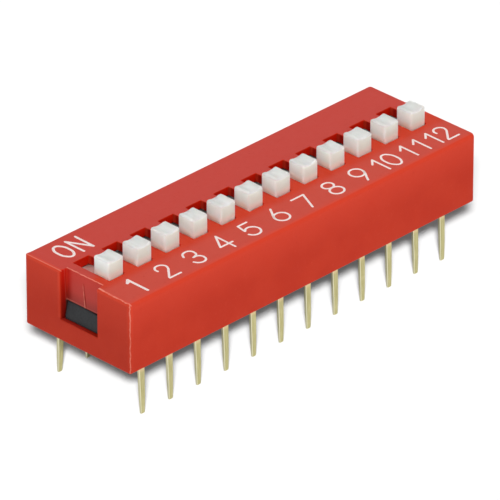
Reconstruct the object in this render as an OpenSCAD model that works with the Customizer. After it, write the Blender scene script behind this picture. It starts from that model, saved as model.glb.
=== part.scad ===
// Slide DIP switch with raised sliders. Millimetres, +X along the row of switches from number 1,
// +Y towards the ON side, +Z up. The origin is the centre of the base's underside, which is the
// face that sits on the circuit board. Every slider is drawn at OFF.

/* [Grid] */
// Number of switches in the row
positions = 12; // [2:1:14]
// Distance between neighbouring switches
pitch = 2.54; // [2.4:0.01:3.1]
// Distance between the two rows of board holes
row_spacing = 7.62; // [7.3:0.01:7.7]

/* [Body] */
// Length that the two ends add to the row of switches
end_margin = 1.52; // [1.4:0.01:3]
// Width of the body across the two rows
body_w = 9.55; // [9.4:0.05:11.5]
// Height of the body above the board
body_h = 5.12; // [4.9:0.02:6.5]
// Radius of the body's four upright edges
corner_r = 0.25; // [0.1:0.05:0.5]

/* [Cover] */
// Thickness of the cover's long walls
side_wall = 0.6; // [0.45:0.05:0.65]
// Thickness of the cover's end walls
end_wall = 0.9; // [0.85:0.05:1]
// Thickness of the roof over the sliders' feet
roof_t = 0.65; // [0.5:0.05:0.85]
// Thickness of the webs between two feet
web_t = 0.44; // [0.35:0.01:0.6]
// Width of each slot
slot_w = 1.4; // [1.2:0.02:1.6]
// Length of each slot
slot_l = 3.36; // [2.8:0.02:3.5]
// How far the slots lie from the middle, towards ON
slot_shift = 0.025; // [0:0.005:0.1]

/* [End recess] */
// Width of the recess at the end face
recess_w = 3.38; // [2.8:0.02:5]
// How far the recess lies from the middle, towards the numbers
recess_shift = 0.1; // [0:0.02:0.2]
// Depth of the recess
recess_d = 0.55; // [0.3:0.01:0.6]
// How much each side of the recess leans inwards over its depth
recess_draft = 0.1; // [0:0.01:0.3]
// Height of the lip below the recess
lip_h = 1.54; // [1.2:0.02:1.9]
// Height of the latch window above the lip
window_h = 1.29; // [1:0.01:1.6]
// Width of the witness line in the recess
witness_w = 0.07; // [0.04:0.01:0.12]
// Height of the witness line above the recess's face
witness_h = 0.03; // [0.02:0.01:0.06]
// How far the witness line lies from the middle, towards the numbers
witness_y = 0.2; // [0:0.05:1.2]
// Length of the witness line above the window
witness_l = 1.7; // [0.5:0.1:1.8]

/* [Base] */
// Clearance all round between the base and the cover
base_fit = 0.05; // [0.02:0.01:0.1]
// Height of the base
base_h = 3.5; // [3.1:0.05:3.6]
// Height of the cell's floor, which is the top of the terminal pads
cell_floor = 1.75; // [1.4:0.05:1.8]
// Clearance beside a slider's keel in its cell
cell_side_gap = 0.1; // [0.05:0.01:0.15]
// Clearance past a slider's keel at each end of its travel
cell_end_gap = 0.15; // [0.1:0.01:0.3]
// How far the latch stays back from the end face at its lower edge
latch_setback = 0.3; // [0.2:0.01:0.4]
// How far the latch stands past the base's end at its upper edge
latch_top_d = 0.42; // [0.2:0.01:0.5]
// Height of the latch's upright lower face
latch_land = 0.28; // [0.1:0.02:0.5]
// Clearance between the latch and the window, above it and beside it
latch_fit = 0.06; // [0.03:0.01:0.1]

/* [Sliders] */
// Length of the knob along its slot
knob_l = 1.48; // [1.2:0.02:1.6]
// Height of the knob above the cover
knob_h = 1.26; // [0.8:0.02:1.6]
// Clearance between the knob and each side of its slot
knob_side_gap = 0.05; // [0.03:0.005:0.1]
// Clearance between the knob and each end of its slot
knob_end_gap = 0.04; // [0.02:0.01:0.1]
// Radius of the knob's upright edges
knob_r = 0.1; // [0.05:0.01:0.25]
// Radius of the hollow along the knob's top
hollow_r = 1.05; // [0.9:0.05:2]
// Depth of the hollow along the knob's top
hollow_d = 0.13; // [0.05:0.01:0.2]
// Clearance above and below a slider's foot
slide_gap = 0.04; // [0.02:0.01:0.06]
// Clearance between a foot and the webs beside it
foot_side_gap = 0.1; // [0.05:0.01:0.15]
// How far a foot reaches past the far end of its slot
foot_overlap = 0.06; // [0.02:0.01:0.1]
// Clearance past a foot at each end of its travel
foot_end_gap = 0.1; // [0.05:0.01:0.15]
// Width of the keel below a foot
keel_w = 1.3; // [1.15:0.05:1.5]
// Length of the keel
keel_l = 2.6; // [2.6:0.05:3]
// Height of the seat under the keel that the contact lies against
contact_seat = 2.62; // [2.5:0.02:2.8]
// How far the keel's cheeks reach below that seat
cheek_h = 0.32; // [0.2:0.02:0.4]
// Diameter of the peg that holds the contact
peg_d = 0.4; // [0.3:0.02:0.44]
// How far the peg stands below the contact
peg_stand = 0.08; // [0.04:0.01:0.12]

/* [Contacts] */
// Thickness of the contact strip
strip_t = 0.12; // [0.08:0.01:0.15]
// Width of the contact strip
strip_w = 0.9; // [0.8:0.02:1]
// Clearance between the strip and the keel's cheeks
strip_fit = 0.03; // [0.02:0.01:0.05]
// Clearance round the peg in the strip's hole
peg_fit = 0.03; // [0.02:0.01:0.05]
// Length of the strip's flat middle
flat_l = 0.9; // [0.8:0.05:1]
// Distance of each contact foot from the slider's middle
foot_reach = 1; // [0.9:0.02:1.02]
// Radius of a contact foot on its strip's middle line
foot_r = 0.25; // [0.18:0.01:0.26]
// Height of a contact foot above the pads
contact_gap = 0.05; // [0.03:0.01:0.08]

/* [Terminals] */
// Thickness of the terminals
term_t = 0.21; // [0.2:0.01:0.28]
// Width of a terminal's pad in the base
pad_w = 1; // [0.8:0.05:1.1]
// Gap between the front pad and the back pad
pad_gap = 0.65; // [0.5:0.05:0.8]
// Outer radius of the bend between pad and lead
bend_r = 0.35; // [0.27:0.01:0.4]
// How far inside its row of board holes a lead leaves the body
lead_inset = 0.16; // [0:0.01:0.2]
// Width of a lead at the body
lead_w = 0.5; // [0.4:0.02:0.6]
// Width of a lead at its tip
tip_w = 0.38; // [0.25:0.01:0.4]
// Length of a lead below the body
lead_l = 4.05; // [3:0.05:5]
// How far a lead leans outwards over that length
lead_splay = 0.13; // [0:0.01:0.3]
// Length of the point at the end of a lead
point_l = 0.15; // [0.1:0.05:0.5]
// Clearance between a terminal and its groove in the base
terminal_fit = 0.03; // [0.02:0.01:0.05]
// Thinnest wall left outside a lead, below which its groove is open at the side
least_wall = 0.35; // [0.15:0.05:0.4]

/* [Hidden] */
$fn = 48;
cut = 0.5; // how far a cut reaches past the surface it opens

body_l = positions * pitch + end_margin;
travel = slot_l - knob_l - 2 * knob_end_gap;
roof_z = body_h - roof_t;
knob_w = slot_w - 2 * knob_side_gap;
knob_top = body_h + knob_h;

foot_w = pitch - web_t - 2 * foot_side_gap;
foot_l = knob_l + 2 * (travel + knob_end_gap + foot_overlap);
pocket_w = foot_w + 2 * foot_side_gap;
pocket_l = foot_l + travel + 2 * foot_end_gap;

cavity_l = body_l - 2 * end_wall;
cavity_w = body_w - 2 * side_wall;
base_l = cavity_l - 2 * base_fit;
base_w = cavity_w - 2 * base_fit;
cell_w = keel_w + 2 * cell_side_gap;
contact_l = 2 * (foot_reach + foot_r) + strip_t;
cell_l = max(keel_l, contact_l) + travel + 2 * cell_end_gap;
window_w = recess_w - 2 * recess_draft;

off_y = slot_shift - travel / 2;
pad_split = slot_shift + foot_reach;
front_inner = pad_gap / 2 - pad_split; // the front pad's inner end, seen from its own side
back_inner = pad_gap / 2 + pad_split; // the back pad's inner end
pad_z = cell_floor - term_t;
lead_in = row_spacing / 2 - lead_inset - term_t / 2;
lead_out = lead_in + term_t;
lead_wall = base_w / 2 - lead_out - terminal_fit;
groove_out = lead_wall < least_wall ? base_w / 2 + cut : lead_out + terminal_fit;

function place_x(i) = (i - (positions + 1) / 2) * pitch;

// A box centred in X and Y, from one height to another.
module block(l, w, low, high) {
    translate([-l / 2, -w / 2, low]) cube([l, w, high - low]);
}

// A block whose four upright edges are round.
module round_block(l, w, low, high, r) {
    translate([0, 0, low]) linear_extrude(high - low) union() {
        square([l - 2 * r, w], center = true);
        square([l, w - 2 * r], center = true);
        for (x = [-1, 1], y = [-1, 1]) translate([x * (l / 2 - r), y * (w / 2 - r)]) circle(r);
    }
}

// Its children at every switch.
module each_switch() {
    for (i = [1:positions]) translate([place_x(i), 0, 0]) children();
}

// Its children at both ends, drawn for the +X end.
module both_ends() {
    for (a = [0, 1]) mirror([a, 0, 0]) children();
}

// An outline drawn in Y and Z becomes a solid of one width in X.
module across(w) {
    rotate([90, 0, 90]) translate([0, 0, -w / 2]) linear_extrude(w) children();
}

// An outline drawn in X and Z becomes a solid between two places in Y.
module along(y_low, y_high) {
    translate([0, y_high, 0]) rotate([90, 0, 0]) linear_extrude(y_high - y_low) children();
}

// The open recess in the end wall at number 1, from the lip up through the top.
module end_recess() {
    face = -body_l / 2;
    deep = face + recess_d;
    grow = recess_draft * cut / recess_d;
    translate([0, -recess_shift, lip_h]) linear_extrude(body_h - lip_h + cut) polygon([
        [deep, -window_w / 2],
        [face - cut, -recess_w / 2 - grow],
        [face - cut, recess_w / 2 + grow],
        [deep, window_w / 2]
    ]);
}

// A latch window through one end wall.
module latch_window() {
    translate([cavity_l / 2 - cut, -recess_shift - window_w / 2, lip_h])
        cube([end_wall + 2 * cut, window_w, window_h]);
}

// The fine raised line in the recess, upwards from the window's edge.
module witness_line() {
    translate([recess_d - body_l / 2 - witness_h, -witness_y - witness_w / 2, lip_h + window_h])
        cube([2 * witness_h, witness_w, witness_l]);
}

module cover() {
    color([0.78, 0.25, 0.18]) union() {
        difference() {
            round_block(body_l, body_w, 0, body_h, corner_r);
            block(cavity_l, cavity_w, -cut, base_h);
            each_switch() translate([0, slot_shift, 0]) {
                block(pocket_w, pocket_l, base_h - cut, roof_z);
                block(slot_w, slot_l, roof_z - cut, body_h + cut);
            }
            both_ends() latch_window();
            end_recess();
        }
        witness_line();
    }
}

// The wedge that snaps into the window: flat below, sloped above.
module latch() {
    root = base_l / 2;
    tip = body_l / 2 - latch_setback;
    top = lip_h + window_h - latch_fit;
    half_w = window_w / 2 - latch_fit;
    along(-recess_shift - half_w, half_w - recess_shift) polygon([
        [root - cut, lip_h],
        [tip, lip_h],
        [tip, lip_h + latch_land],
        [root + latch_top_d, top],
        [root - cut, top]
    ]);
}

// The groove of one terminal with its lead at +Y: a tunnel for its pad and an upright slot for its lead.
module terminal_groove(inner_y) {
    translate([-pad_w / 2 - terminal_fit, inner_y - terminal_fit, pad_z])
        cube([pad_w + 2 * terminal_fit, groove_out - inner_y + terminal_fit, term_t + terminal_fit]);
    translate([-lead_w / 2 - terminal_fit, lead_in - terminal_fit, -cut])
        cube([lead_w + 2 * terminal_fit, groove_out - lead_in + terminal_fit, pad_z + cut]);
}

module base() {
    color([0.16, 0.17, 0.18]) difference() {
        union() {
            block(base_l, base_w, 0, base_h);
            both_ends() latch();
        }
        each_switch() {
            translate([0, slot_shift, 0]) block(cell_w, cell_l, cell_floor, base_h + cut);
            mirror([0, 1, 0]) terminal_groove(front_inner);
            terminal_groove(back_inner);
        }
    }
}

// One slider: knob, foot, keel and peg in one piece.
module slider(i) {
    hollow_z = knob_top - hollow_d + hollow_r;
    color([0.86, 0.85, 0.84]) translate([place_x(i), off_y, 0]) difference() {
        union() {
            round_block(knob_w, knob_l, roof_z - slide_gap - cut, knob_top, knob_r);
            block(foot_w, foot_l, base_h + slide_gap, roof_z - slide_gap);
            block(keel_w, keel_l, contact_seat - cheek_h, base_h + slide_gap + cut);
        }
        translate([0, knob_l, hollow_z]) rotate([90, 0, 0]) cylinder(h = 2 * knob_l, r = hollow_r, $fn = 96);
        difference() {
            block(strip_w + 2 * strip_fit, keel_l + 2 * cut, contact_seat - cheek_h - cut, contact_seat);
            translate([0, 0, contact_seat - strip_t - peg_stand])
                cylinder(h = strip_t + peg_stand + cut, d = peg_d);
        }
    }
}

// A straight stretch of strip between two points of its outline, with round ends.
module stretch(from, to) {
    run = to - from;
    translate(from) rotate(atan2(run[1], run[0])) translate([0, -strip_t / 2]) square([norm(run), strip_t]);
    translate(from) circle(d = strip_t);
    translate(to) circle(d = strip_t);
}

// One half of a contact's side view: flat middle, sloping arm, round foot and upturned end.
module contact_half() {
    mid_z = contact_seat - strip_t / 2;
    foot_z = cell_floor + contact_gap + foot_r + strip_t / 2;
    outer = foot_r + strip_t / 2;
    translate([0, mid_z - strip_t / 2]) square([flat_l / 2, strip_t]);
    stretch([flat_l / 2, mid_z], [foot_reach - foot_r, foot_z]);
    translate([foot_reach, foot_z]) intersection() {
        difference() {
            circle(outer);
            circle(foot_r - strip_t / 2);
        }
        translate([-outer, -outer]) square([2 * outer, outer]);
    }
    stretch([foot_reach + foot_r, foot_z], [foot_reach + foot_r, foot_z + strip_t]);
}

// One contact: a formed strip with a hole for the slider's peg.
module contact(i) {
    color([0.83, 0.68, 0.35]) translate([place_x(i), off_y, 0]) difference() {
        across(strip_w) union() {
            contact_half();
            mirror([1, 0]) contact_half();
        }
        translate([0, 0, contact_seat - strip_t - cut])
            cylinder(h = strip_t + 2 * cut, d = peg_d + 2 * peg_fit);
    }
}

// A terminal's side view, with its lead towards +Y and its pad ending at inner_y.
module terminal_side(inner_y) {
    lean = lead_splay * (lead_l - point_l) / lead_l;
    difference() {
        union() {
            translate([inner_y, pad_z]) square([lead_out - inner_y, term_t]);
            translate([lead_in, 0]) square([term_t, cell_floor]);
        }
        translate([lead_out - bend_r, cell_floor - bend_r]) difference() {
            square(2 * bend_r);
            circle(bend_r);
        }
    }
    polygon([
        [lead_in, 0],
        [lead_in + lean, point_l - lead_l],
        [lead_in + lead_splay + term_t / 4, -lead_l],
        [lead_out + lead_splay - term_t / 4, -lead_l],
        [lead_out + lean, point_l - lead_l],
        [lead_out, 0]
    ]);
}

// A terminal's front view: a wide pad and bend above, a tapering lead below.
module terminal_front_view() {
    translate([-pad_w / 2, pad_z]) square([pad_w, term_t + cut]);
    translate([-lead_w / 2, 0]) square([lead_w, pad_z + cut]);
    taper = (lead_w - tip_w) / 2 * (lead_l - point_l) / lead_l;
    polygon([
        [-lead_w / 2, 0],
        [-lead_w / 2 + taper, -lead_l + point_l],
        [-tip_w / 3, -lead_l],
        [tip_w / 3, -lead_l],
        [lead_w / 2 - taper, -lead_l + point_l],
        [lead_w / 2, 0]
    ]);
}

// One terminal with its lead at +Y.
module terminal(inner_y) {
    intersection() {
        across(pad_w) terminal_side(inner_y);
        along(-row_spacing, row_spacing) terminal_front_view();
    }
}

module terminal_front(i) {
    color([0.71, 0.68, 0.48]) translate([place_x(i), 0, 0]) mirror([0, 1, 0]) terminal(front_inner);
}

module terminal_back(i) {
    color([0.71, 0.68, 0.48]) translate([place_x(i), 0, 0]) terminal(back_inner);
}

cover();
base();
for (i = [1:positions]) slider(i);
for (i = [1:positions]) contact(i);
for (i = [1:positions]) terminal_front(i);
for (i = [1:positions]) terminal_back(i);
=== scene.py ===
from math import cos, pi, radians, sin

import bmesh
import bpy
from mathutils import Matrix, Vector


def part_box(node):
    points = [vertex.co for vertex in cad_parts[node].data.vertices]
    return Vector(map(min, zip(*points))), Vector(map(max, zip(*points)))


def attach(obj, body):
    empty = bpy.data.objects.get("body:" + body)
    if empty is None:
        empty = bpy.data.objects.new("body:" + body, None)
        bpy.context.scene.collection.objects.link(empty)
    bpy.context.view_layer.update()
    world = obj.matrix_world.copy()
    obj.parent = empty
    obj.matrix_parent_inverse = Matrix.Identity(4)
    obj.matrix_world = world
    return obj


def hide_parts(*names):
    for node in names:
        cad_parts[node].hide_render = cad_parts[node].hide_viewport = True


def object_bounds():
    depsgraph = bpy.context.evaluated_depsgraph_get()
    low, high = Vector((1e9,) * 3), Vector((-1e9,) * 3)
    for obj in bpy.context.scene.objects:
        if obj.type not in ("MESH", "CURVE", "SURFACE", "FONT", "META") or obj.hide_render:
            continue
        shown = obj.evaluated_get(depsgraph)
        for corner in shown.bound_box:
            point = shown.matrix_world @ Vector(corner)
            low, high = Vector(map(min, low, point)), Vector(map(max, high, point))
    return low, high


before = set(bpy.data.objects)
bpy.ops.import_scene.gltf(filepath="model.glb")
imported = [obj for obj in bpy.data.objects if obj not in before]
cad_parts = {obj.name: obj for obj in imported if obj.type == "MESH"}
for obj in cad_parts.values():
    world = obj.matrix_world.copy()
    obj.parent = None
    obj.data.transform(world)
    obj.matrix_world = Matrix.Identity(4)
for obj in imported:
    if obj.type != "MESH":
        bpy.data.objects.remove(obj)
cad_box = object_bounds()
MM = 0.001
MERGE, TOUCH = 1e-4, 1e-3


def span(node):
    """A CAD node's lowest and highest corner in millimetres."""
    low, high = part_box(node)
    return low / MM, high / MM


SWITCHES = sum(name.startswith("slider_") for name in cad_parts)
COVER_LOW, COVER_HIGH = span("cover")
TOP, FRONT, BACK = COVER_HIGH.z, COVER_LOW.y, COVER_HIGH.y
LEFT, RIGHT = COVER_LOW.x, COVER_HIGH.x

# The sizes that no node's box tells. They are the part's own, but the knobs are a little wider and shorter,
# the slots end where the knobs do, and the leads' tips and the witness line have a freer shape.
BASE_H, ROOF_Z = 3.50, 4.47
END_WALL, SIDE_WALL = 0.90, 0.60
SLOT_W, SLOT_L, SLOT_SHIFT = 1.40, 3.255, 0.0775
POCKET_W, POCKET_L, POCKET_SHIFT = 2.10, 7.28, 0.025
RECESS_D, RECESS_DRAFT, LIP_H = 0.55, 0.10, 1.54
WINDOW_LOW, WINDOW_HIGH, WINDOW_TOP = -1.69, 1.49, 2.83
LINE_Y, LINE_W, LINE_H, LINE_L, LINE_LEAN = -0.18, 0.07, 0.03, 1.70, 0.11
KNOB_W, KNOB_L, KNOB_SHIFT, KNOB_R, HOLLOW_D = 1.37, 1.37, 0.055, 0.14, 0.13
FOOT_W, FOOT_LOW, FOOT_HIGH = 1.90, 3.54, 4.43
KEEL_W, KEEL_L, SEAT_Z, CHEEK_W = 1.30, 2.60, 2.62, 0.17
PAD_W, PAD_HIGH, TERM_T, LEAD_IN, BEND_R = 1.00, 1.75, 0.21, 3.545, 0.35
SHOULDER_L, NECK_L, LEAD_W, LEAD_SPLAY = 0.15, 0.20, 0.50, 0.13
# Shares of a lead's length, with its width there and what is left of its thickness.
LEAD_TAPER = ((0.35, 0.47, 1), (0.68, 0.42, 1), (0.975, 0.36, 0.70), (1, 0.29, 0.45))

PLACES = [(span(f"slider_{n}")[0].x + span(f"slider_{n}")[1].x) / 2 for n in range(1, SWITCHES + 1)]
SLOT_LOW, SLOT_HIGH = SLOT_SHIFT - SLOT_L / 2, SLOT_SHIFT + SLOT_L / 2

PEN, PEN_ONE, PEN_ON = 0.155, 0.20, 0.185
FIGURE_SHIFT, FIGURE_LINE = 0.20, -3.29
WORD_SHIFT, WORD_LINE = 2.87, 3.17
VIEW_AZIMUTH, VIEW_ELEVATION, VIEW_DISTANCE = 45.56, 29.16, 513.4


# ---------------------------------------------------------------- working on a mesh


def slab(bm, low, high):
    """Adds a box between two corners."""
    low, high = Vector(low), Vector(high)
    verts = bmesh.ops.create_cube(bm, size=1)["verts"]
    bmesh.ops.scale(bm, vec=high - low, verts=verts)
    bmesh.ops.translate(bm, vec=(low + high) / 2, verts=verts)


AXES = {"x": Vector((1, 0, 0)), "y": Vector((0, 1, 0)), "z": Vector((0, 0, 1))}
ANYWHERE = (-99, 99)


def patch(bm, facing, x=ANYWHERE, y=ANYWHERE, z=ANYWHERE):
    """The faces that face one way, such as "+z" or any way, and have their middle in a range."""
    bm.normal_update()
    way = None if facing == "any" else AXES[facing[1]] * (1 if facing[0] == "+" else -1)
    found = []
    for face in bm.faces:
        middle = face.calc_center_median()
        inside = all(a < c < b for c, (a, b) in zip(middle, (x, y, z)))
        if inside and (way is None or face.normal.dot(way) > 0.9):
            found.append(face)
    return found


def cut(bm, axis, places, *where, **ranges):
    """Splits the faces of a patch where they cross each place on an axis."""
    for place in places:
        faces = patch(bm, *where, **ranges)
        edges = list(dict.fromkeys(e for f in faces for e in f.edges))
        verts = list(dict.fromkeys(v for f in faces for v in f.verts))
        way = AXES[axis]
        bmesh.ops.bisect_plane(bm, geom=faces + edges + verts, dist=1e-5, plane_co=way * place, plane_no=way)


def push(bm, faces, by):
    """Extrudes a region of faces and returns the moved faces."""
    made = bmesh.ops.extrude_face_region(bm, geom=faces)["geom"]
    bmesh.ops.delete(bm, geom=[f for f in faces if f.is_valid], context="FACES")
    bmesh.ops.translate(bm, vec=by, verts=[g for g in made if isinstance(g, bmesh.types.BMVert)])
    return [g for g in made if isinstance(g, bmesh.types.BMFace)]


def open_through(bm, caps):
    """Takes away the sunk faces and those that they have met, and sews the hole's rim."""
    middles = [f.calc_center_median() for f in caps]
    twins = [f for f in bm.faces if any((f.calc_center_median() - m).length < TOUCH for m in middles)]
    bmesh.ops.delete(bm, geom=twins, context="FACES")
    bmesh.ops.remove_doubles(bm, verts=bm.verts[:], dist=MERGE)


def sharp_edges(bm, x, y, z, hollow):
    """The sharp edges that lie wholly inside a box, with the inner corners or without them."""
    bm.normal_update()
    found = []
    for edge in bm.edges:
        inside = all(a - TOUCH <= c <= b + TOUCH for v in edge.verts for c, (a, b) in zip(v.co, (x, y, z)))
        if inside and edge.calc_face_angle(0) > 0.4 and (hollow or edge.is_convex):
            found.append(edge)
    return found


def soften(bm, radius, x=ANYWHERE, y=ANYWHERE, z=ANYWHERE, hollow=True):
    """Gives the sharp edges inside a box the radius that their bevel will have."""
    layer = bm.edges.layers.float.get("bevel_weight_edge") or bm.edges.layers.float.new("bevel_weight_edge")
    for edge in sharp_edges(bm, x, y, z, hollow):
        edge[layer] = radius


def even_normals(bm):
    """Each face corner's normal, leant towards the larger of the faces that meet smoothly there."""
    bm.normal_update()
    normals = []
    for face in bm.faces:
        for vert in face.verts:
            meeting = [f for f in vert.link_faces if f.normal.dot(face.normal) > 0.7]
            normals.append(sum((f.normal * f.calc_area() for f in meeting), Vector()).normalized())
    return normals


def near(place, reach=0.02):
    """The narrow range round one place."""
    return place - reach, place + reach


def finish_piece(name, bm, body, finish, stands_for=(), segments=3):
    """Turns a mesh in millimetres into a piece that rides on a body, with its marked edges bevelled."""
    layer = bm.edges.layers.float.get("bevel_weight_edge")
    widest = max((e[layer] for e in bm.edges), default=0) if layer else 0
    for edge in bm.edges:
        if widest:
            edge[layer] /= widest
        edge.smooth = edge.calc_face_angle(0) < radians(40)
    for face in bm.faces:
        face.smooth = True
    normals = even_normals(bm)
    bmesh.ops.scale(bm, vec=(MM, MM, MM), verts=bm.verts)
    mesh = bpy.data.meshes.new(name)
    bm.to_mesh(mesh)
    bm.free()
    if not widest:
        mesh.normals_split_custom_set(normals)
    piece = bpy.data.objects.new(name, mesh)
    bpy.context.scene.collection.objects.link(piece)
    mesh.materials.append(finish)
    if widest:
        bevel = piece.modifiers.new("rounded edges", "BEVEL")
        bevel.limit_method = "WEIGHT"
        bevel.width = widest * MM
        bevel.segments = segments
        bevel.use_clamp_overlap = False
        bevel.harden_normals = True
    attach(piece, body)
    if stands_for:
        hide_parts(*stands_for)
    return piece


# ---------------------------------------------------------------- finishes


class Wire:
    """An output of a shader node that can be used in Python sums, which add Math nodes."""

    def __init__(self, finish, socket):
        self.finish, self.socket = finish, socket

    def maths(self, operation, first, second):
        return self.finish.node("ShaderNodeMath", {"operation": operation}, {0: first, 1: second})

    def __add__(self, other):
        return self.maths("ADD", self, other)

    def __sub__(self, other):
        return self.maths("SUBTRACT", self, other)

    def __rsub__(self, other):
        return self.maths("SUBTRACT", other, self)

    def __mul__(self, other):
        return self.maths("MULTIPLY", self, other)

    def __neg__(self):
        return self.maths("MULTIPLY", self, -1.0)

    __radd__, __rmul__ = __add__, __mul__

    def larger(self, other):
        """The larger of two values."""
        return self.maths("MAXIMUM", self, other)

    def size(self):
        """The value without its sign."""
        return self.maths("ABSOLUTE", self, 0.0)

    def rise(self, low, high):
        """Goes smoothly from 0 at one value to 1 at another."""
        values = {"Value": self, "From Min": low, "From Max": high}
        return self.finish.node("ShaderNodeMapRange", {"interpolation_type": "SMOOTHSTEP"}, values)


class Finish:
    """The nodes of one material or of the world."""

    def __init__(self, owner):
        owner.use_nodes = True
        self.owner, self.tree = owner, owner.node_tree
        self.tree.nodes.clear()

    def node(self, kind, settings=None, inputs=None, output=0):
        """Adds a node, sets its settings, then its sockets, and returns one of its outputs."""
        made = self.tree.nodes.new(kind)
        for name, value in (settings or {}).items():
            setattr(made, name, value)
        for name, value in (inputs or {}).items():
            if isinstance(value, Wire):
                self.tree.links.new(value.socket, made.inputs[name])
            else:
                made.inputs[name].default_value = value
        return Wire(self, made.outputs[output])

    def place(self, stretch=(1, 1, 1)):
        """The place on the piece in millimetres, or in stretched millimetres."""
        raw = self.node("ShaderNodeTexCoord", output="Object")
        scale = tuple(s / MM for s in stretch)
        return self.node("ShaderNodeVectorMath", {"operation": "MULTIPLY"}, {0: raw, 1: scale})

    def facing(self):
        """The way that the surface faces, on the piece's own axes."""
        return self.node("ShaderNodeTexCoord", output="Normal")

    def parts(self, vector):
        """A vector's x, y and z."""
        split = self.node("ShaderNodeSeparateXYZ", inputs={0: vector}).socket.node
        return [Wire(self, socket) for socket in split.outputs]

    def noise(self, place, size, detail=2.0, roughness=0.5):
        values = {"Vector": place, "Scale": 1 / size, "Detail": detail, "Roughness": roughness}
        return self.node("ShaderNodeTexNoise", {}, values, "Fac")

    def tint(self, factor, first, second):
        """A mix of two colours: the first at 0 and the second at 1."""
        settings = {"data_type": "RGBA"}
        return self.node("ShaderNodeMix", settings, {0: factor, 6: first, 7: second}, 2)

    def bump(self, height, depth):
        """A relief of a height from 0 to 1 that is depth millimetres deep."""
        values = {"Height": height, "Distance": depth * MM, "Strength": 1.0}
        return self.node("ShaderNodeBump", {}, values)

    def coat(self, **values):
        """The surface itself. Spaces in socket names are written as underscores."""
        inputs = {name.replace("_", " "): value for name, value in values.items()}
        shader = self.node("ShaderNodeBsdfPrincipled", {}, inputs)
        self.node_out(shader)
        return self.owner

    def seen(self):
        """1 for what the camera sees, straight or in a reflection or through something clear, and else 0."""
        rays = [self.node("ShaderNodeLightPath", output=f"Is {kind} Ray") for kind in ("Camera", "Glossy")]
        return rays[0].larger(rays[1]).larger(self.node("ShaderNodeLightPath", output="Is Transmission Ray"))

    def node_out(self, shader, kind="ShaderNodeOutputMaterial"):
        made = self.tree.nodes.new(kind)
        self.tree.links.new(shader.socket, made.inputs["Surface"])


def rgb(red, green, blue):
    return red, green, blue, 1.0


def glint_line(first, second, wander, width):
    """A thin wavering painted highlight along an edge, from the distances to its two faces."""
    beside = (first - second - wander).size().rise(width, width * 0.4)
    return beside * (first + second).rise(0.34, 0.22)


class CoverZones:
    """Where a point lies on the cover: its distances to some faces, and masks from 0 to 1."""

    def __init__(self, f):
        self.place = f.place()
        self.x, self.y, self.z = f.parts(self.place)
        self.nx, self.ny, self.nz = f.parts(f.facing())
        self.end_side, self.roof_side, self.front_side = self.x - LEFT, TOP - self.z, self.y - FRONT
        self.floor_side = self.end_side - RECESS_D
        self.far_land = (self.y - WINDOW_HIGH).rise(0.01, 0.11)
        self.near_land = (WINDOW_LOW - self.y).rise(0.01, 0.11)
        end_wall = self.end_side.rise(0.80, 0.75)
        above_lip = self.z.rise(LIP_H - 0.25, LIP_H - 0.10)
        self.recess = (1 - self.far_land) * (1 - self.near_land) * end_wall * above_lip
        self.recess_floor = self.recess * self.floor_side.size().rise(0.10, 0.05)
        self.cheek = self.ny.size().rise(0.5, 0.8) * self.y.size().rise(2.2, 2.0) * end_wall
        self.top = self.nz.rise(0.75, 0.95)


# The cover's layers of painted light and shade take its finish f, its zones c and the colour so far, and give
# the colour with theirs.


def mottled_red(f, c):
    """The moulding's colour with a random mottle and faint specks, painted light that makes it paler higher
    up, and a painted reflection on top.
    """
    drift = f.noise(c.place, 2.6, detail=3)
    specks = f.noise(c.place, 0.22, detail=3, roughness=0.6)
    colour = f.tint(drift.rise(0.35, 0.65), rgb(0.540, 0.028, 0.007), rgb(0.570, 0.033, 0.009))
    # Painted light: paler higher up, where more light falls.
    colour = f.tint(c.z.rise(2.0, 5.2), colour, rgb(0.668, 0.045, 0.017))
    # Painted reflection: a pale sheen on the top, a little paler towards the front.
    sheen = f.tint(c.y.rise(-1.0, -2.6), rgb(0.617, 0.062, 0.046), rgb(0.646, 0.076, 0.050))
    colour = f.tint(c.top * 0.95, colour, sheen)
    # Painted reflection taken away: a deeper red on the top beside the knobs, which hide the sheen there.
    sheen_hidden_by_knobs = c.top * (c.y + 1.35).size().rise(1.15, 0.35)
    colour = f.tint(sheen_hidden_by_knobs, colour, rgb(0.662, 0.048, 0.018))
    colour = f.tint(specks.rise(0.60, 0.78) * 0.22, colour, rgb(0.70, 0.08, 0.04))
    return f.tint(specks.rise(0.42, 0.24) * 0.22, colour, rgb(0.48, 0.022, 0.006))


def recess_red(f, c, colour):
    """Painted shade on the recess's floor: darker low down and in its far corner."""
    # Painted shade: the recess's floor darker low down, and pinker than the rest.
    wall = f.tint(c.z.rise(2.85, 3.90), rgb(0.38, 0.050, 0.042), rgb(0.585, 0.062, 0.050))
    wall = f.tint(c.z.rise(3.90, 5.00), wall, rgb(0.665, 0.058, 0.044))
    colour = f.tint(c.recess * c.floor_side.size().rise(0.20, 0.10) * (1 - c.top) * 0.9, colour, wall)
    # Painted shade in the recess's far corner, darkest low down.
    corner = c.recess * c.floor_side.size().rise(0.30, 0.02) * (WINDOW_HIGH - c.y).rise(0.65, 0.05)
    corner_shade = f.tint(c.z.rise(2.85, 4.60), rgb(0.25, 0.008, 0.003), rgb(0.60, 0.012, 0.004))
    return f.tint(corner * (1 - c.top) * 0.9, colour, corner_shade)


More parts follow.
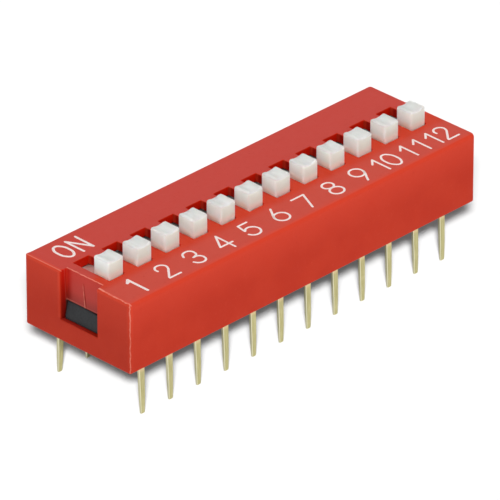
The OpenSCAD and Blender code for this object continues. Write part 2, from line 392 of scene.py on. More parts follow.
def slot_red(f, c, colour):
    """Painted light and shade in the slots: a deep bounced red on their walls, darker on the walls that face
    along the row.
    """
    within = c.end_side.rise(0.62, 0.66) * (RIGHT - c.x).rise(0.62, 0.66)
    within = within * c.front_side.rise(0.50, 0.60) * (BACK - c.y).rise(0.50, 0.60)
    within = within * c.nz.rise(0.5, 0.3) * c.z.rise(BASE_H - 0.3, BASE_H)
    # Painted shade: the walls that face along the row darker than those that face across it.
    walls = f.tint(c.nx.size().rise(0.5, 0.8), rgb(0.74, 0.012, 0.001), rgb(0.52, 0.012, 0.005))
    return f.tint(within, colour, walls)


def mouth_red(f, c, colour):
    """Painted shadow and shade in the recess's mouth: on its sill, on its cheeks and beside the window."""
    # Painted shadow on the sill under the latch.
    sill = c.recess * c.nz.rise(0.5, 0.8) * c.z.rise(2.2, 2.0)
    colour = f.tint(sill * 0.8, colour, rgb(0.34, 0.006, 0.001))
    # Painted shade on the cheeks, darker low down and nearly black beside the window.
    painted_cheek_shade = f.tint(c.z.rise(1.8, 5.2), rgb(0.27, 0.006, 0.002), rgb(0.62, 0.011, 0.003))
    jamb = c.end_side.rise(0.40, 0.52) * c.z.rise(2.95, 2.85)
    painted_cheek_shade = f.tint(jamb, painted_cheek_shade, rgb(0.08, 0.025, 0.020))
    return f.tint(c.cheek * c.end_side.rise(-0.05, 0.24), colour, painted_cheek_shade)


def edge_red(f, c, colour):
    """Painted light: a brighter red along the edges of the end, the front and the top."""
    # Painted light along the far rim of the recess's mouth and along the outer edges.
    rim = (c.y - WINDOW_HIGH - 0.12).size().rise(0.26, 0.06) * (1 - c.cheek)
    rim = rim * c.z.rise(1.5, 1.8) * c.nx.rise(-0.3, -0.6)
    glow = (c.end_side + c.front_side).rise(0.38, 0.10) * (0.2 + c.z.rise(2.0, 4.8) * 0.5)
    glow = glow.larger((c.end_side + c.roof_side).rise(0.30, 0.10))
    glow = glow.larger(rim * (0.4 + c.z.rise(3.0, 4.8) * 0.6))
    glow = glow.larger((c.front_side + c.roof_side).rise(0.70, 0.25) * 0.2)
    return f.tint(glow * 0.6, colour, rgb(0.86, 0.070, 0.026))


def end_glints(f, c, patches):
    """How much the painted highlights show along the edges of the end at number 1."""
    waver = f.noise(c.place, 0.42, detail=3) - 0.5
    pale = f.noise(c.place, 0.9).rise(0.35, 0.60)
    far = glint_line(c.end_side, c.roof_side, 0.05, 0.06) * c.far_land * 0.55
    back = glint_line(c.floor_side, c.roof_side, waver * 0.15 + 0.09, 0.07)
    back = back * c.recess * (0.3 + patches * 0.5)
    start = (-c.y).rise(3.00, 1.90)
    wander = waver * (1 - start) * 0.36 + start * 0.09 + 0.07
    close = glint_line(c.end_side, c.roof_side, wander, 0.095)
    close = close * c.near_land * (0.40 + patches * 0.42 + start * 0.20)
    wander = waver * (0.22 + c.z.rise(2.0, 4.5) * 0.16)
    upright = glint_line(c.end_side, c.front_side, wander, 0.075)
    upright = upright * (0.22 + patches * 0.28 + pale * 0.12 + c.z.rise(2.5, 4.5) * 0.15)
    # Painted highlight in the recess's inner corner, and another along the window's top.
    corner_glint = (c.end_side - 0.50 + (c.z - 2.55) * 0.05).size().rise(0.06, 0.02)
    corner_glint = c.cheek * corner_glint * c.z.rise(2.7, 3.0) * 0.10
    lintel = (c.z - WINDOW_TOP - 0.05).size().rise(0.10, 0.06) * (0.10 + c.y.rise(0.2, 1.3) * 0.12)
    return far.larger(back).larger(close).larger(upright).larger(corner_glint).larger(c.recess_floor * lintel)


def glinted_red(f, c, colour):
    """The painted highlights along the edges and on the witness line, with painted shade beside the line."""
    patches = f.noise(c.place, 0.28, detail=2).rise(0.35, 0.55)
    low_part = c.z.rise(4.3, 3.5)
    along = c.recess_floor * c.z.rise(WINDOW_TOP + LINE_L + 0.1, WINDOW_TOP + LINE_L - 0.1)
    # Painted highlight on the raised witness line, and painted shade on its side towards the front.
    beside = c.y - LINE_Y - (c.z - WINDOW_TOP) * LINE_LEAN
    witness = along * beside.size().rise(0.06, 0.03) * (0.14 + patches * 0.2 + low_part * 0.18)
    shade = along * (beside + 0.085).size().rise(0.06, 0.02) * (0.3 + low_part * 0.5)
    colour = f.tint(shade, colour, rgb(0.30, 0.008, 0.003))
    return f.tint(end_glints(f, c, patches).larger(witness), colour, rgb(0.90, 0.31, 0.23))


def red_plastic():
    """The cover's satin moulding."""
    f = Finish(bpy.data.materials.new("red_plastic"))
    c = CoverZones(f)
    colour = mottled_red(f, c)
    for shade in (recess_red, slot_red, mouth_red, edge_red, glinted_red):
        colour = shade(f, c, colour)
    grain = f.noise(c.place, 0.07, detail=3, roughness=0.6)
    waves = f.noise(c.place, 1.4, detail=1)
    relief = f.bump(grain * 0.6 + waves * 1.4, 0.006)
    rough = 0.42 + f.noise(c.place, 0.5, detail=2) * 0.14
    return f.coat(Base_Color=colour, Roughness=rough, Specular_IOR_Level=0.11, Normal=relief)


def black_plastic():
    """The base: glass-filled nylon, dark grey, with a faint mottle."""
    f = Finish(bpy.data.materials.new("black_plastic"))
    place = f.place()
    mottle = f.noise(place, 0.16, detail=4, roughness=0.65)
    cloud = f.noise(place, 1.7, detail=2)
    colour = f.tint(mottle.rise(0.3, 0.75), rgb(0.013, 0.015, 0.017), rgb(0.026, 0.029, 0.032))
    colour = f.tint(cloud.rise(0.45, 0.75) * 0.4, colour, rgb(0.034, 0.037, 0.040))
    relief = f.bump(mottle, 0.010)
    return f.coat(Base_Color=colour, Roughness=0.46 + mottle * 0.2, Specular_IOR_Level=0.3, Normal=relief)


def white_plastic():
    """The sliders' natural white acetal, which lets a little light through."""
    f = Finish(bpy.data.materials.new("white_plastic"))
    place = f.place()
    knob_top = span("slider_1")[1].z
    x, _, z = f.parts(place)
    _, ny, nz = f.parts(f.facing())
    cloud = f.noise(place, 0.9, detail=2)
    specks = f.noise(place, 0.15, detail=2)
    colour = f.tint(cloud.rise(0.35, 0.7), rgb(0.765, 0.940, 0.845), rgb(0.815, 0.980, 0.890))
    # Painted shade: the faces towards the front a little darker.
    colour = f.tint(ny.rise(-0.3, -0.8) * 0.8, colour, rgb(0.735, 0.850, 0.750))
    # Painted light and reflection: the sides warmer and brighter low down, next to the red cover.
    low_down = (z - TOP).rise(0.55, 0.0) * nz.rise(0.5, 0.3)
    colour = f.tint(low_down, colour, rgb(0.97, 0.86, 0.76))
    # Painted shade: the tops darker than the sides, darkest on the rims of the hollow.
    near_top = z.rise(knob_top - HOLLOW_D + 0.02, knob_top)
    painted_top_shade = f.tint(near_top, rgb(0.68, 0.705, 0.685), rgb(0.61, 0.64, 0.61))
    colour = f.tint(nz.rise(0.05, 0.40), colour, painted_top_shade)
    # Painted shade on the feet's tops under the roof: pinkish grey at number 1 and nearly black past it.
    foot_in_shade = nz.rise(0.5, 0.9) * (FOOT_HIGH + 0.02 - z).rise(-0.02, 0.01)
    past_first = x.rise(PLACES[0] + 0.8, PLACES[1] - 0.8)
    foot_shade_colour = f.tint(past_first, rgb(0.55, 0.24, 0.20), rgb(0.020, 0.012, 0.012))
    colour = f.tint(foot_in_shade * (0.75 + specks * 0.2), colour, foot_shade_colour)
    colour = f.tint(specks.rise(0.62, 0.80) * 0.2, colour, rgb(0.70, 0.70, 0.67))
    relief = f.bump(f.noise(place, 0.30, detail=2) + f.noise(place, 0.05, detail=2) * 0.4, 0.004)
    return f.coat(
        Base_Color=colour,
        Roughness=0.42 + specks * 0.14,
        Normal=relief,
        Specular_IOR_Level=0.38,
        Subsurface_Weight=1.0,
        Subsurface_Radius=(0.9, 0.8, 0.75),
        Subsurface_Scale=1.4 * MM,
    )


def plated_brass():
    """The terminals: a thin dull gold plate, drawn lengthwise, with a painted highlight along one edge,
    painted shade on its sides, and warmer near the top.
    """
    f = Finish(bpy.data.materials.new("plated_brass"))
    z = f.parts(f.place())[2]
    nx = f.parts(f.facing())[0]
    drawn = f.noise(f.place((1, 1, 0.06)), 0.06, detail=3)
    cloud = f.noise(f.place(), 0.8, detail=2)
    colour = f.tint(drawn.rise(0.30, 0.72), rgb(0.44, 0.40, 0.185), rgb(0.56, 0.52, 0.26))
    colour = f.tint(cloud.rise(0.50, 0.75) * 0.5, colour, rgb(0.60, 0.55, 0.30))
    # Painted highlight along the edge that faces -X.
    colour = f.tint(nx.rise(-0.15, -0.40), colour, rgb(0.92, 0.90, 0.68))
    # Painted shade on the side that faces -X.
    colour = f.tint(nx.rise(-0.75, -0.95), colour, rgb(0.50, 0.47, 0.29))
    # Painted shade on the side and edge that face +X.
    colour = f.tint(nx.rise(0.15, 0.60), colour, rgb(0.34, 0.31, 0.15))
    colour = f.tint(z.rise(-1.10, -0.75) * 0.45, colour, rgb(0.90, 0.62, 0.38))
    relief = f.bump(drawn, 0.006)
    return f.coat(Base_Color=colour, Metallic=1.0, Roughness=0.26 + drawn * 0.22, Normal=relief)


def spring_metal():
    """The contacts: bright gold-flashed bronze strip."""
    f = Finish(bpy.data.materials.new("spring_metal"))
    place = f.place()
    drawn = f.noise(f.place((1, 0.08, 1)), 0.05, detail=3)
    colour = f.tint(drawn.rise(0.3, 0.7), rgb(0.66, 0.44, 0.16), rgb(0.80, 0.58, 0.26))
    rough = 0.22 + f.noise(place, 0.3) * 0.2
    return f.coat(Base_Color=colour, Metallic=1.0, Roughness=rough, Normal=f.bump(drawn, 0.004))


def white_ink():
    """Pad-printed ink, a little thinner in places so that the red warms it."""
    f = Finish(bpy.data.materials.new("white_ink"))
    place = f.place()
    thin = f.noise(place, 0.16, detail=3)
    colour = f.tint(thin.rise(0.40, 0.75), rgb(0.98, 0.86, 0.835), rgb(0.95, 0.72, 0.675))
    relief = f.bump(f.noise(place, 0.05, detail=2), 0.004)
    return f.coat(Base_Color=colour, Roughness=0.42 + thin * 0.15, Specular_IOR_Level=0.9, Normal=relief)


RED, BLACK, WHITE = red_plastic(), black_plastic(), white_plastic()
BRASS, SPRING, INK = plated_brass(), spring_metal(), white_ink()


# ---------------------------------------------------------------- cover


def hollow_cover(bm):
    """The room for the base, and the pockets for the sliders' feet above it."""
    inner_x, inner_y = RIGHT - END_WALL, BACK - SIDE_WALL
    cut(bm, "x", (-inner_x, inner_x), "-z")
    cut(bm, "y", (-inner_y, inner_y), "-z")
    push(bm, patch(bm, "-z", x=(-inner_x, inner_x), y=(-inner_y, inner_y)), (0, 0, BASE_H))
    ceiling = {"z": near(BASE_H)}
    cut(bm, "x", [x + side * POCKET_W / 2 for x in PLACES for side in (-1, 1)], "-z", **ceiling)
    ends = POCKET_SHIFT - POCKET_L / 2, POCKET_SHIFT + POCKET_L / 2
    cut(bm, "y", ends, "-z", **ceiling)
    for x in PLACES:
        pocket = patch(bm, "-z", x=(x - POCKET_W / 2, x + POCKET_W / 2), y=ends, **ceiling)
        push(bm, pocket, (0, 0, ROOF_Z - BASE_H))


def open_slots(bm):
    """The twelve slots, from the pockets up through the top."""
    sides = [x + side * SLOT_W / 2 for x in PLACES for side in (-1, 1)]
    cut(bm, "x", sides, "+z", z=near(TOP))
    cut(bm, "y", (SLOT_LOW, SLOT_HIGH), "+z", x=(sides[0], sides[-1]), z=near(TOP))
    cut(bm, "x", sides, "-z", z=near(ROOF_Z))
    cut(bm, "y", (SLOT_LOW, SLOT_HIGH), "-z", z=near(ROOF_Z))
    caps = []
    for x in PLACES:
        cell = patch(bm, "-z", x=(x - SLOT_W / 2, x + SLOT_W / 2), y=(SLOT_LOW, SLOT_HIGH), z=near(ROOF_Z))
        caps += push(bm, cell, (0, 0, TOP - ROOF_Z))
    open_through(bm, caps)


def open_recess(bm):
    """The recess in the end wall at number 1, open at the top, with the latch window in its floor."""
    deep = LEFT + RECESS_D
    first = PLACES[0] - SLOT_W / 2
    span_y = (WINDOW_LOW, WINDOW_HIGH)
    cut(bm, "x", (deep,), "+z", x=(LEFT, first), z=near(TOP))
    cut(bm, "y", span_y, "+z", x=(LEFT, deep), z=near(TOP))
    cut(bm, "z", (LIP_H,), "-x", x=near(LEFT))
    cut(bm, "y", span_y, "-x", x=near(LEFT), z=(LIP_H, TOP))
    push(bm, patch(bm, "-x", x=near(LEFT), y=span_y, z=(LIP_H, TOP)), (RECESS_D, 0, 0))
    lid = patch(bm, "any", x=(LEFT, deep), y=span_y, z=near(TOP, TOUCH))
    bmesh.ops.delete(bm, geom=lid, context="FACES")
    bmesh.ops.remove_doubles(bm, verts=bm.verts[:], dist=MERGE)
    for vert in bm.verts:
        if abs(vert.co.x - LEFT) < TOUCH and vert.co.z > LIP_H - TOUCH:
            vert.co.y -= RECESS_DRAFT * (abs(vert.co.y - WINDOW_LOW) < TOUCH)
            vert.co.y += RECESS_DRAFT * (abs(vert.co.y - WINDOW_HIGH) < TOUCH)


def open_windows(bm):
    """The latch windows in both end walls."""
    span_y, span_z = (WINDOW_LOW, WINDOW_HIGH), (LIP_H, WINDOW_TOP)
    for side, outer, face in ((1, LEFT + RECESS_D, "-x"), (-1, RIGHT, "+x")):
        inner = side * (LEFT + END_WALL)
        back = "+x" if face == "-x" else "-x"
        for where, way in ((near(outer), face), (near(inner), back)):
            cut(bm, "z", span_z, way, x=where)
            cut(bm, "y", span_y, way, x=where, z=span_z)
        open_through(bm, push(bm, patch(bm, face, x=near(outer), y=span_y, z=span_z), (inner - outer, 0, 0)))


def round_cover(bm):
    """Each edge's own softness, widest at the front of the top and nearly sharp at the recess."""
    left, right, front, back, top = near(LEFT), near(RIGHT), near(FRONT), near(BACK), near(TOP)
    soften(bm, 0.34, y=front, z=top)
    soften(bm, 0.20, y=back, z=top)
    soften(bm, 0.22, x=right, z=top)
    soften(bm, 0.09, x=(LEFT - 0.1, LEFT + RECESS_D + 0.02), z=top)
    soften(bm, 0.16, x=left, y=front)
    soften(bm, 0.22, x=left, y=back)
    soften(bm, 0.25, x=right)
    soften(bm, 0.05, x=right, z=(LIP_H - 0.02, WINDOW_TOP + 0.02), y=(WINDOW_LOW - 0.02, WINDOW_HIGH + 0.02))
    for rim in ({"x": left}, {"x": right}, {"y": front}, {"y": back}):
        soften(bm, 0.13, z=near(0), **rim)
    for x in PLACES:
        hole = {"x": (x - SLOT_W / 2 - 0.01, x + SLOT_W / 2 + 0.01), "y": (SLOT_LOW - 0.01, SLOT_HIGH + 0.01)}
        soften(bm, 0.03, z=top, **hole)
        soften(bm, 0.05, z=(ROOF_Z - 0.01, TOP), **hole)
        soften(bm, 0.15, z=(ROOF_Z - 0.01, TOP), x=hole["x"], y=near(SLOT_LOW))
    mouth = {"y": (WINDOW_LOW - 0.12, WINDOW_HIGH + 0.12), "z": (LIP_H - 0.01, TOP)}
    soften(bm, 0.07, x=left, **mouth)
    soften(bm, 0.05, x=near(LEFT + RECESS_D), **mouth)


def witness_line(bm):
    """The fine raised line in the recess, which leans a little towards ON."""
    size = Vector((2 * LINE_H, LINE_W, LINE_L - 0.02))
    verts = bmesh.ops.create_cube(bm, size=1)["verts"]
    bmesh.ops.scale(bm, vec=size, verts=verts)
    bmesh.ops.translate(bm, vec=(LEFT + RECESS_D, LINE_Y, WINDOW_TOP + 0.02 + size.z / 2), verts=verts)
    for vert in verts:
        vert.co.y += (vert.co.z - WINDOW_TOP) * LINE_LEAN


def cover():
    bm = bmesh.new()
    slab(bm, COVER_LOW, COVER_HIGH)
    hollow_cover(bm)
    open_slots(bm)
    open_recess(bm)
    open_windows(bm)
    round_cover(bm)
    witness_line(bm)
    finish_piece("cover_shell", bm, "housing", RED, ["cover"], segments=4)


# ---------------------------------------------------------------- base and contacts


def base():
    """The CAD's own base, merged and flattened again, with its edges broken."""
    bm = bmesh.new()
    bm.from_mesh(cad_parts["base"].data)
    bmesh.ops.scale(bm, vec=(1 / MM,) * 3, verts=bm.verts)
    bmesh.ops.remove_doubles(bm, verts=bm.verts[:], dist=TOUCH)
    bmesh.ops.dissolve_limit(bm, angle_limit=radians(0.5), verts=bm.verts[:], edges=bm.edges[:])
    for side in (-1, 1):
        ends = sorted((side * (RIGHT - END_WALL + 0.1), side * (RIGHT + 1)))
        soften(bm, 0.09, x=ends, hollow=False)
    soften(bm, 0.05, z=near(0), x=near(LEFT + END_WALL + 0.05), hollow=False)
    soften(bm, 0.05, z=near(0), x=near(RIGHT - END_WALL - 0.05), hollow=False)
    finish_piece("base_block", bm, "housing", BLACK, ["base"])


def contacts():
    """The CAD's own contact strips, with their finish."""
    for name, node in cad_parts.items():
        if name.startswith("contact_"):
            node.data.materials.clear()
            node.data.materials.append(SPRING)


# ---------------------------------------------------------------- sliders


def round_off(bm, radius, segments, x=ANYWHERE, y=ANYWHERE, z=ANYWHERE):
    """Bevels the outer edges that lie wholly inside a box."""
    settings = {"profile": 0.5, "affect": "EDGES", "material": -1}
    bmesh.ops.bevel(bm, geom=sharp_edges(bm, x, y, z, False), offset=radius, segments=segments, **settings)


def knob(bm, top):
    """Raises the knob from the foot, rounds it and presses the soft hollow into its top."""
    wide, long = (-KNOB_W / 2, KNOB_W / 2), (KNOB_SHIFT - KNOB_L / 2, KNOB_SHIFT + KNOB_L / 2)
    cut(bm, "x", wide, "+z")
    cut(bm, "y", long, "+z", x=wide)
    push(bm, patch(bm, "+z", x=wide, y=long), (0, 0, top - FOOT_HIGH))
    round_off(bm, KNOB_R, 4, x=wide, y=long, z=(FOOT_HIGH, top))
    half = KNOB_W / 2 - KNOB_R
    cut(bm, "x", [half * step / 8 for step in range(-7, 8)], "any", z=(FOOT_HIGH + 0.3, top + 0.1))
    for vert in bm.verts:
        part = min(max((vert.co.z - top) / KNOB_R + 1, 0), 1)
        across = min(abs(vert.co.x) / half, 1)
        vert.co.z -= HOLLOW_D * (0.5 + 0.5 * cos(pi * across)) * part


def keel(bm, low_z):
    """The block under the foot, with a seat for the contact between its two cheeks."""
    wide, long = (-KEEL_W / 2, KEEL_W / 2), (-KEEL_L / 2, KEEL_L / 2)
    cut(bm, "x", wide, "-z")
    cut(bm, "y", long, "-z", x=wide)
    push(bm, patch(bm, "-z", x=wide, y=long), (0, 0, SEAT_Z - FOOT_LOW))
    inner = KEEL_W / 2 - CHEEK_W
    cut(bm, "x", (-inner, inner), "-z", z=near(SEAT_Z))
    for side in ((wide[0], -inner), (inner, wide[1])):
        push(bm, patch(bm, "-z", x=side, z=near(SEAT_Z)), (0, 0, low_z - SEAT_Z))
    peg = bmesh.ops.create_cone(bm, cap_ends=True, segments=24, radius1=0.17, radius2=0.2, depth=0.3)["verts"]
    bmesh.ops.translate(bm, vec=(0, 0, SEAT_Z - 0.05), verts=peg)


def slider(number):
    """Knob, foot, keel and peg in one moulding, made at the middle of the row and then moved."""
    name = f"slider_{number}"
    low, high = span(name)
    foot = (high.y - low.y) / 2
    bm = bmesh.new()
    slab(bm, (-FOOT_W / 2, -foot, FOOT_LOW), (FOOT_W / 2, foot, FOOT_HIGH))
    round_off(bm, 0.06, 2)
    knob(bm, high.z)
    keel(bm, low.z)
    bmesh.ops.translate(bm, vec=(PLACES[number - 1], (low.y + high.y) / 2, 0), verts=bm.verts)
    return finish_piece(f"{name}_moulding", bm, f"switch_{number}", WHITE, [name])


# ---------------------------------------------------------------- terminals


def grow(bm, face, by, width=1.0, thick=1.0):
    """Draws an end face out and scales it there."""
    face = push(bm, [face], by)[0]
    about = Matrix.Translation(-face.calc_center_median())
    bmesh.ops.scale(bm, vec=(width, thick, 1), verts=face.verts[:], space=about)
    return face


def terminal(row, number):
    """A stamped blade: pad, shoulders, bend and a lead that tapers and leans outwards to its point."""
    name = f"terminal_{row}_{number}"
    low, high = span(name)
    pad_end, turn = (low.y, 0) if row == "back" else (-high.y, pi)
    turn_y, bend_z = LEAD_IN + TERM_T - BEND_R, PAD_HIGH - BEND_R
    bm = bmesh.new()
    slab(bm, (-PAD_W / 2, pad_end, PAD_HIGH - TERM_T), (PAD_W / 2, turn_y - SHOULDER_L - NECK_L, PAD_HIGH))
    pad = max(patch(bm, "+y"), key=lambda face: face.calc_center_median().y)

    shoulder = grow(bm, pad, (0, SHOULDER_L, 0), width=LEAD_W / PAD_W)
    neck = grow(bm, shoulder, (0, NECK_L, 0))
    turned = bmesh.ops.spin(
        bm,
        geom=[neck],
        cent=(0, turn_y, bend_z),
        axis=(1, 0, 0),
        angle=-pi / 2,
        steps=6,
        use_merge=False,
        use_duplicate=False,
    )["geom_last"]
    bmesh.ops.delete(bm, geom=[neck] if neck.is_valid else [], context="FACES")
    lead = [g for g in turned if isinstance(g, bmesh.types.BMFace)][0]
    lead = grow(bm, lead, (0, 0, -bend_z))
    down, wide, left = 0, LEAD_W, 1
    for share, width, thick in LEAD_TAPER:
        by = Vector((0, LEAD_SPLAY, low.z)) * (share - down)
        lead = grow(bm, lead, by, width / wide, thick / left)
        down, wide, left = share, width, thick

    bmesh.ops.rotate(bm, matrix=Matrix.Rotation(turn, 3, "Z"), verts=bm.verts)
    bmesh.ops.recalc_face_normals(bm, faces=bm.faces[:])
    soften(bm, 0.04, z=(low.z - 0.1, 0.3), hollow=False)
    bmesh.ops.translate(bm, vec=((low.x + high.x) / 2, 0, 0), verts=bm.verts)
    finish_piece(f"{name}_blade", bm, "housing", BRASS, [name])


# ---------------------------------------------------------------- print


def bow(*points):
    """A stroke that runs smoothly through its points."""
    return "AUTO", points, False


def bar(*points):
    """A straight stroke, or one with sharp corners."""
    return "VECTOR", points, False


def ring(x, y, half_w, half_h):
    turns = [2 * pi * step / 8 for step in range(8)]
    return "AUTO", [(x + half_w * cos(a), y + half_h * sin(a)) for a in turns], True


def moved(strokes, x, y=0.0):
    return [(kind, [(px + x, py + y) for px, py in points], closed) for kind, points, closed in strokes]


# Each figure's strokes in millimetres from the figure's middle.
SLIM_ONE = [bar((-0.43, 0.33), (0.02, 0.79), (0.00, -0.86))]
TWO = [
    bow(
        (-0.46, 0.33),
        (-0.44, 0.60),
        (-0.06, 0.86),
        (0.38, 0.58),
        (0.34, 0.24),
        (0.05, -0.13),
        (-0.46, -0.70),
    ),
    bar((-0.46, -0.70), (-0.49, -0.81), (0.48, -0.81)),
]
FIGURES = {
    1: [bar((-0.36, 0.62), (-0.04, 0.92), (-0.05, -0.90)), bar((-0.24, 0.66), (-0.10, 0.80))],
    2: TWO,
    3: [
        bow(
            (-0.56, 0.43),
            (-0.36, 0.74),
            (-0.02, 0.85),
            (0.29, 0.73),
            (0.39, 0.46),
            (0.25, 0.12),
            (-0.12, 0.0),
        ),
        bow(
            (-0.12, 0.0),
            (0.18, -0.03),
            (0.38, -0.22),
            (0.41, -0.50),
            (0.25, -0.76),
            (-0.06, -0.84),
            (-0.36, -0.72),
            (-0.53, -0.45),
        ),
    ],
    4: [bar((0.25, -0.90), (0.27, 0.91), (-0.52, -0.32), (0.57, -0.32))],
    5: [
        bar((0.44, 0.81), (-0.34, 0.81), (-0.47, 0.03)),
        bow(
            (-0.47, 0.03),
            (-0.12, 0.25),
            (0.26, 0.15),
            (0.48, -0.23),
            (0.35, -0.62),
            (-0.04, -0.81),
            (-0.39, -0.70),
            (-0.58, -0.43),
        ),
    ],
    6: [ring(0.06, -0.29, 0.53, 0.53), bow((0.22, 0.91), (-0.08, 0.46), (-0.34, 0.08), (-0.47, -0.25))],
    7: [bar((-0.55, 0.76), (0.56, 0.76), (-0.16, -0.80))],
    8: [ring(0.0, 0.45, 0.43, 0.37), ring(0.0, -0.39, 0.51, 0.45)],
    9: [ring(0.02, 0.31, 0.51, 0.53), bow((0.52, 0.25), (0.40, -0.08), (0.14, -0.46), (-0.13, -0.87))],
    10: moved(SLIM_ONE, -0.58) + [ring(0.38, -0.05, 0.49, 0.82)],
    11: moved(SLIM_ONE, -0.47) + moved(SLIM_ONE, 0.76),
    12: moved(SLIM_ONE, -0.60) + moved(TWO, 0.42, -0.05),
}
WORD_ON = [
    ring(-0.94, 0.0, 0.47, 0.83),
    bar((0.01, -0.87), (0.01, 0.83), (0.90, -0.84), (0.93, 0.85)),
]


def pulls(kind, points, closed):
    """The pen's pulls in one stroke: a straight-sided stroke has one for each side."""
    if kind == "AUTO":
        return [(kind, points, closed)]
    return [(kind, side, False) for side in zip(points, points[1:])]


def pen_rests(kind, points, closed):
    """Where a stroke needs a round dab: at its ends and sharp corners."""
    if closed:
        return []
    return points if kind == "VECTOR" else [points[0], points[-1]]


def printed(name, strokes, pen, x, y):
    """One label of raised ink: round pen strokes with round ends, pressed nearly flat on the cover."""
    curve = bpy.data.curves.new(name, "CURVE")
    curve.dimensions, curve.use_fill_caps = "3D", True
    curve.bevel_depth, curve.bevel_resolution, curve.resolution_u = pen / 2, 3, 7
    for kind, points, closed in [pull for stroke in strokes for pull in pulls(*stroke)]:
        spline = curve.splines.new("BEZIER")
        spline.bezier_points.add(len(points) - 1)
        spline.use_cyclic_u = closed
        for knot, (px, py) in zip(spline.bezier_points, points):
            knot.co = (px, py, 0)
            knot.handle_left_type = knot.handle_right_type = kind
    holder = bpy.data.objects.new(name, curve)
    bpy.context.scene.collection.objects.link(holder)
    bm = bmesh.new()
    traced = holder.to_mesh()
    bm.from_mesh(traced)
    holder.to_mesh_clear()
    bpy.data.objects.remove(holder)
    bpy.data.curves.remove(curve)
    for px, py in [place for stroke in strokes for place in pen_rests(*stroke)]:
        dab = bmesh.ops.create_uvsphere(bm, u_segments=24, v_segments=12, radius=pen * 0.51)["verts"]
        bmesh.ops.translate(bm, vec=(px, py, 0), verts=dab)
    bmesh.ops.remove_doubles(bm, verts=bm.verts[:], dist=MERGE)
    bmesh.ops.scale(bm, vec=(1, 1, 0.30), verts=bm.verts)
    bmesh.ops.translate(bm, vec=(x, y, TOP), verts=bm.verts)
    finish_piece(name, bm, "housing", INK)


def lettering():
    """The numbers along the front edge, and ON at the back."""
    for number, strokes in FIGURES.items():
        if number <= SWITCHES:
            pen = PEN_ONE if number == 1 else PEN
            printed(f"print_{number}", strokes, pen, PLACES[number - 1] + FIGURE_SHIFT, FIGURE_LINE)
    printed("print_on", WORD_ON, PEN_ON, LEFT + WORD_SHIFT, WORD_LINE)


# ---------------------------------------------------------------- stage


def paper_white():
    """The floor: pale, and plain white to the camera where nothing shades it."""
    f = Finish(bpy.data.materials.new("paper"))
    diffuse = f.node("ShaderNodeBsdfDiffuse", {}, {"Color": rgb(0.26, 0.26, 0.26)})
    glow = f.node("ShaderNodeEmission", {}, {"Color": rgb(1, 1, 1), "Strength": f.seen() * 0.095})
    paper = f.node("ShaderNodeAddShader", {}, {0: diffuse, 1: glow})
    below = f.node("ShaderNodeNewGeometry", output="Backfacing")
    clear = f.node("ShaderNodeBsdfTransparent")
    f.node_out(f.node("ShaderNodeMixShader", {}, {0: below, 1: paper, 2: clear}))
    return f.owner


def floor():
    mesh = bpy.data.meshes.new("floor")
    bm = bmesh.new()
    bmesh.ops.create_grid(bm, x_segments=1, y_segments=1, size=1.5)
    bmesh.ops.translate(bm, vec=(0, 0, cad_box[0].z), verts=bm.verts)
    bm.to_mesh(mesh)
    bm.free()
    mesh.materials.append(paper_white())
    ground = bpy.data.objects.new("floor", mesh)
    bpy.context.scene.collection.objects.link(ground)
    return ground


def from_side(azimuth, elevation):
    """The direction towards an onlooker at an azimuth, from -Y round to -X, and an elevation."""
    a, e = radians(azimuth), radians(elevation)
    return Vector((-sin(a) * cos(e), -cos(a) * cos(e), sin(e)))


def lamp(name, azimuth, elevation, level, width, pieces, lit=False):
    """A far lamp that lights only some pieces, or all but them. Level 1 lights a white face to full white."""
    light = bpy.data.lights.new(name, "SUN")
    light.energy, light.angle = level * pi, radians(width)
    holder = bpy.data.objects.new(name, light)
    holder.rotation_mode = "QUATERNION"
    holder.rotation_quaternion = from_side(azimuth, elevation).to_track_quat("Z", "Y")
    bpy.context.scene.collection.objects.link(holder)
    group = bpy.data.collections.new(name + " reach")
    for piece in pieces:
        group.objects.link(piece)
    for entry in group.collection_objects:
        entry.light_linking.link_state = "INCLUDE" if lit else "EXCLUDE"
    holder.light_linking.receiver_collection = group


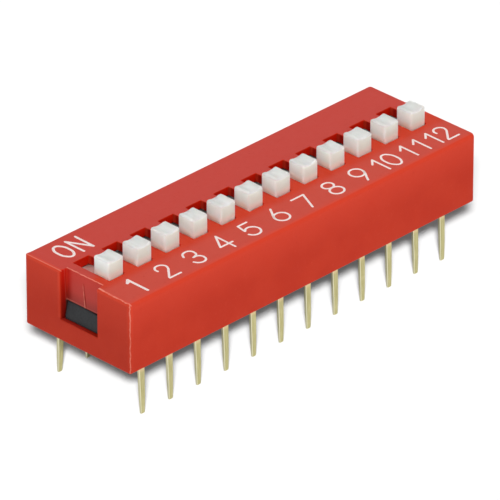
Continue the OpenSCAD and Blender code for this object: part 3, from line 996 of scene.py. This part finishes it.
def studio(ground, sliders):
    """Soft light on the part, a little more on the sliders' ends, and lamps that shade the floor alone."""
    lamp("sky", 35, 65, 0.34, 170, [ground])
    lamp("overhead", 20, 72, 0.26, 50, [ground])
    lamp("front", -15, 38, 0.18, 40, [ground])
    lamp("slider fill", 84, 40, 0.225, 12, sliders, lit=True)
    for turn, share in ((-2.4, 0.3), (0, 0.4), (2.4, 0.3)):
        lamp(f"floor lamp {turn}", VIEW_AZIMUTH + turn, 34.3, 6.2 * share, 5.2, [ground], lit=True)
    world = bpy.data.worlds.new("studio")
    bpy.context.scene.world = world
    f = Finish(world)
    way = {0: f.node("ShaderNodeTexCoord", output="Generated"), 1: (0.50, -0.45, 0.74)}
    lean = f.node("ShaderNodeVectorMath", {"operation": "DOT_PRODUCT"}, way, "Value")
    lit = f.node("ShaderNodeBackground", {}, {"Color": rgb(1, 1, 1), "Strength": 0.12 + lean * 0.06})
    shown = f.node("ShaderNodeBackground", {}, {"Color": rgb(1, 1, 1), "Strength": 1.0})
    f.node_out(f.node("ShaderNodeMixShader", {}, {0: f.seen(), 1: lit, 2: shown}), "ShaderNodeOutputWorld")
    bpy.context.scene.view_settings.view_transform = "Standard"


def camera():
    """A long lens far off, aimed a little beside the middle."""
    middle = (COVER_LOW + COVER_HIGH) / 2
    eye = Vector((middle.x, middle.y, 3.0)) + from_side(VIEW_AZIMUTH, VIEW_ELEVATION) * VIEW_DISTANCE
    aim = Vector((middle.x - 0.803, middle.y - 0.500, 1.345))
    lens = bpy.data.cameras.new("camera")
    lens.sensor_width, lens.lens = 36, 569.4
    holder = bpy.data.objects.new("camera", lens)
    holder.location = eye * MM
    holder.rotation_mode = "QUATERNION"
    holder.rotation_quaternion = (eye - aim).to_track_quat("Z", "Y")
    bpy.context.scene.collection.objects.link(holder)
    bpy.context.scene.camera = holder


camera()
cover()
base()
contacts()
sliders = [slider(number) for number in range(1, SWITCHES + 1)]
for number in range(1, SWITCHES + 1):
    terminal("front", number)
    terminal("back", number)
lettering()
studio(floor(), sliders)
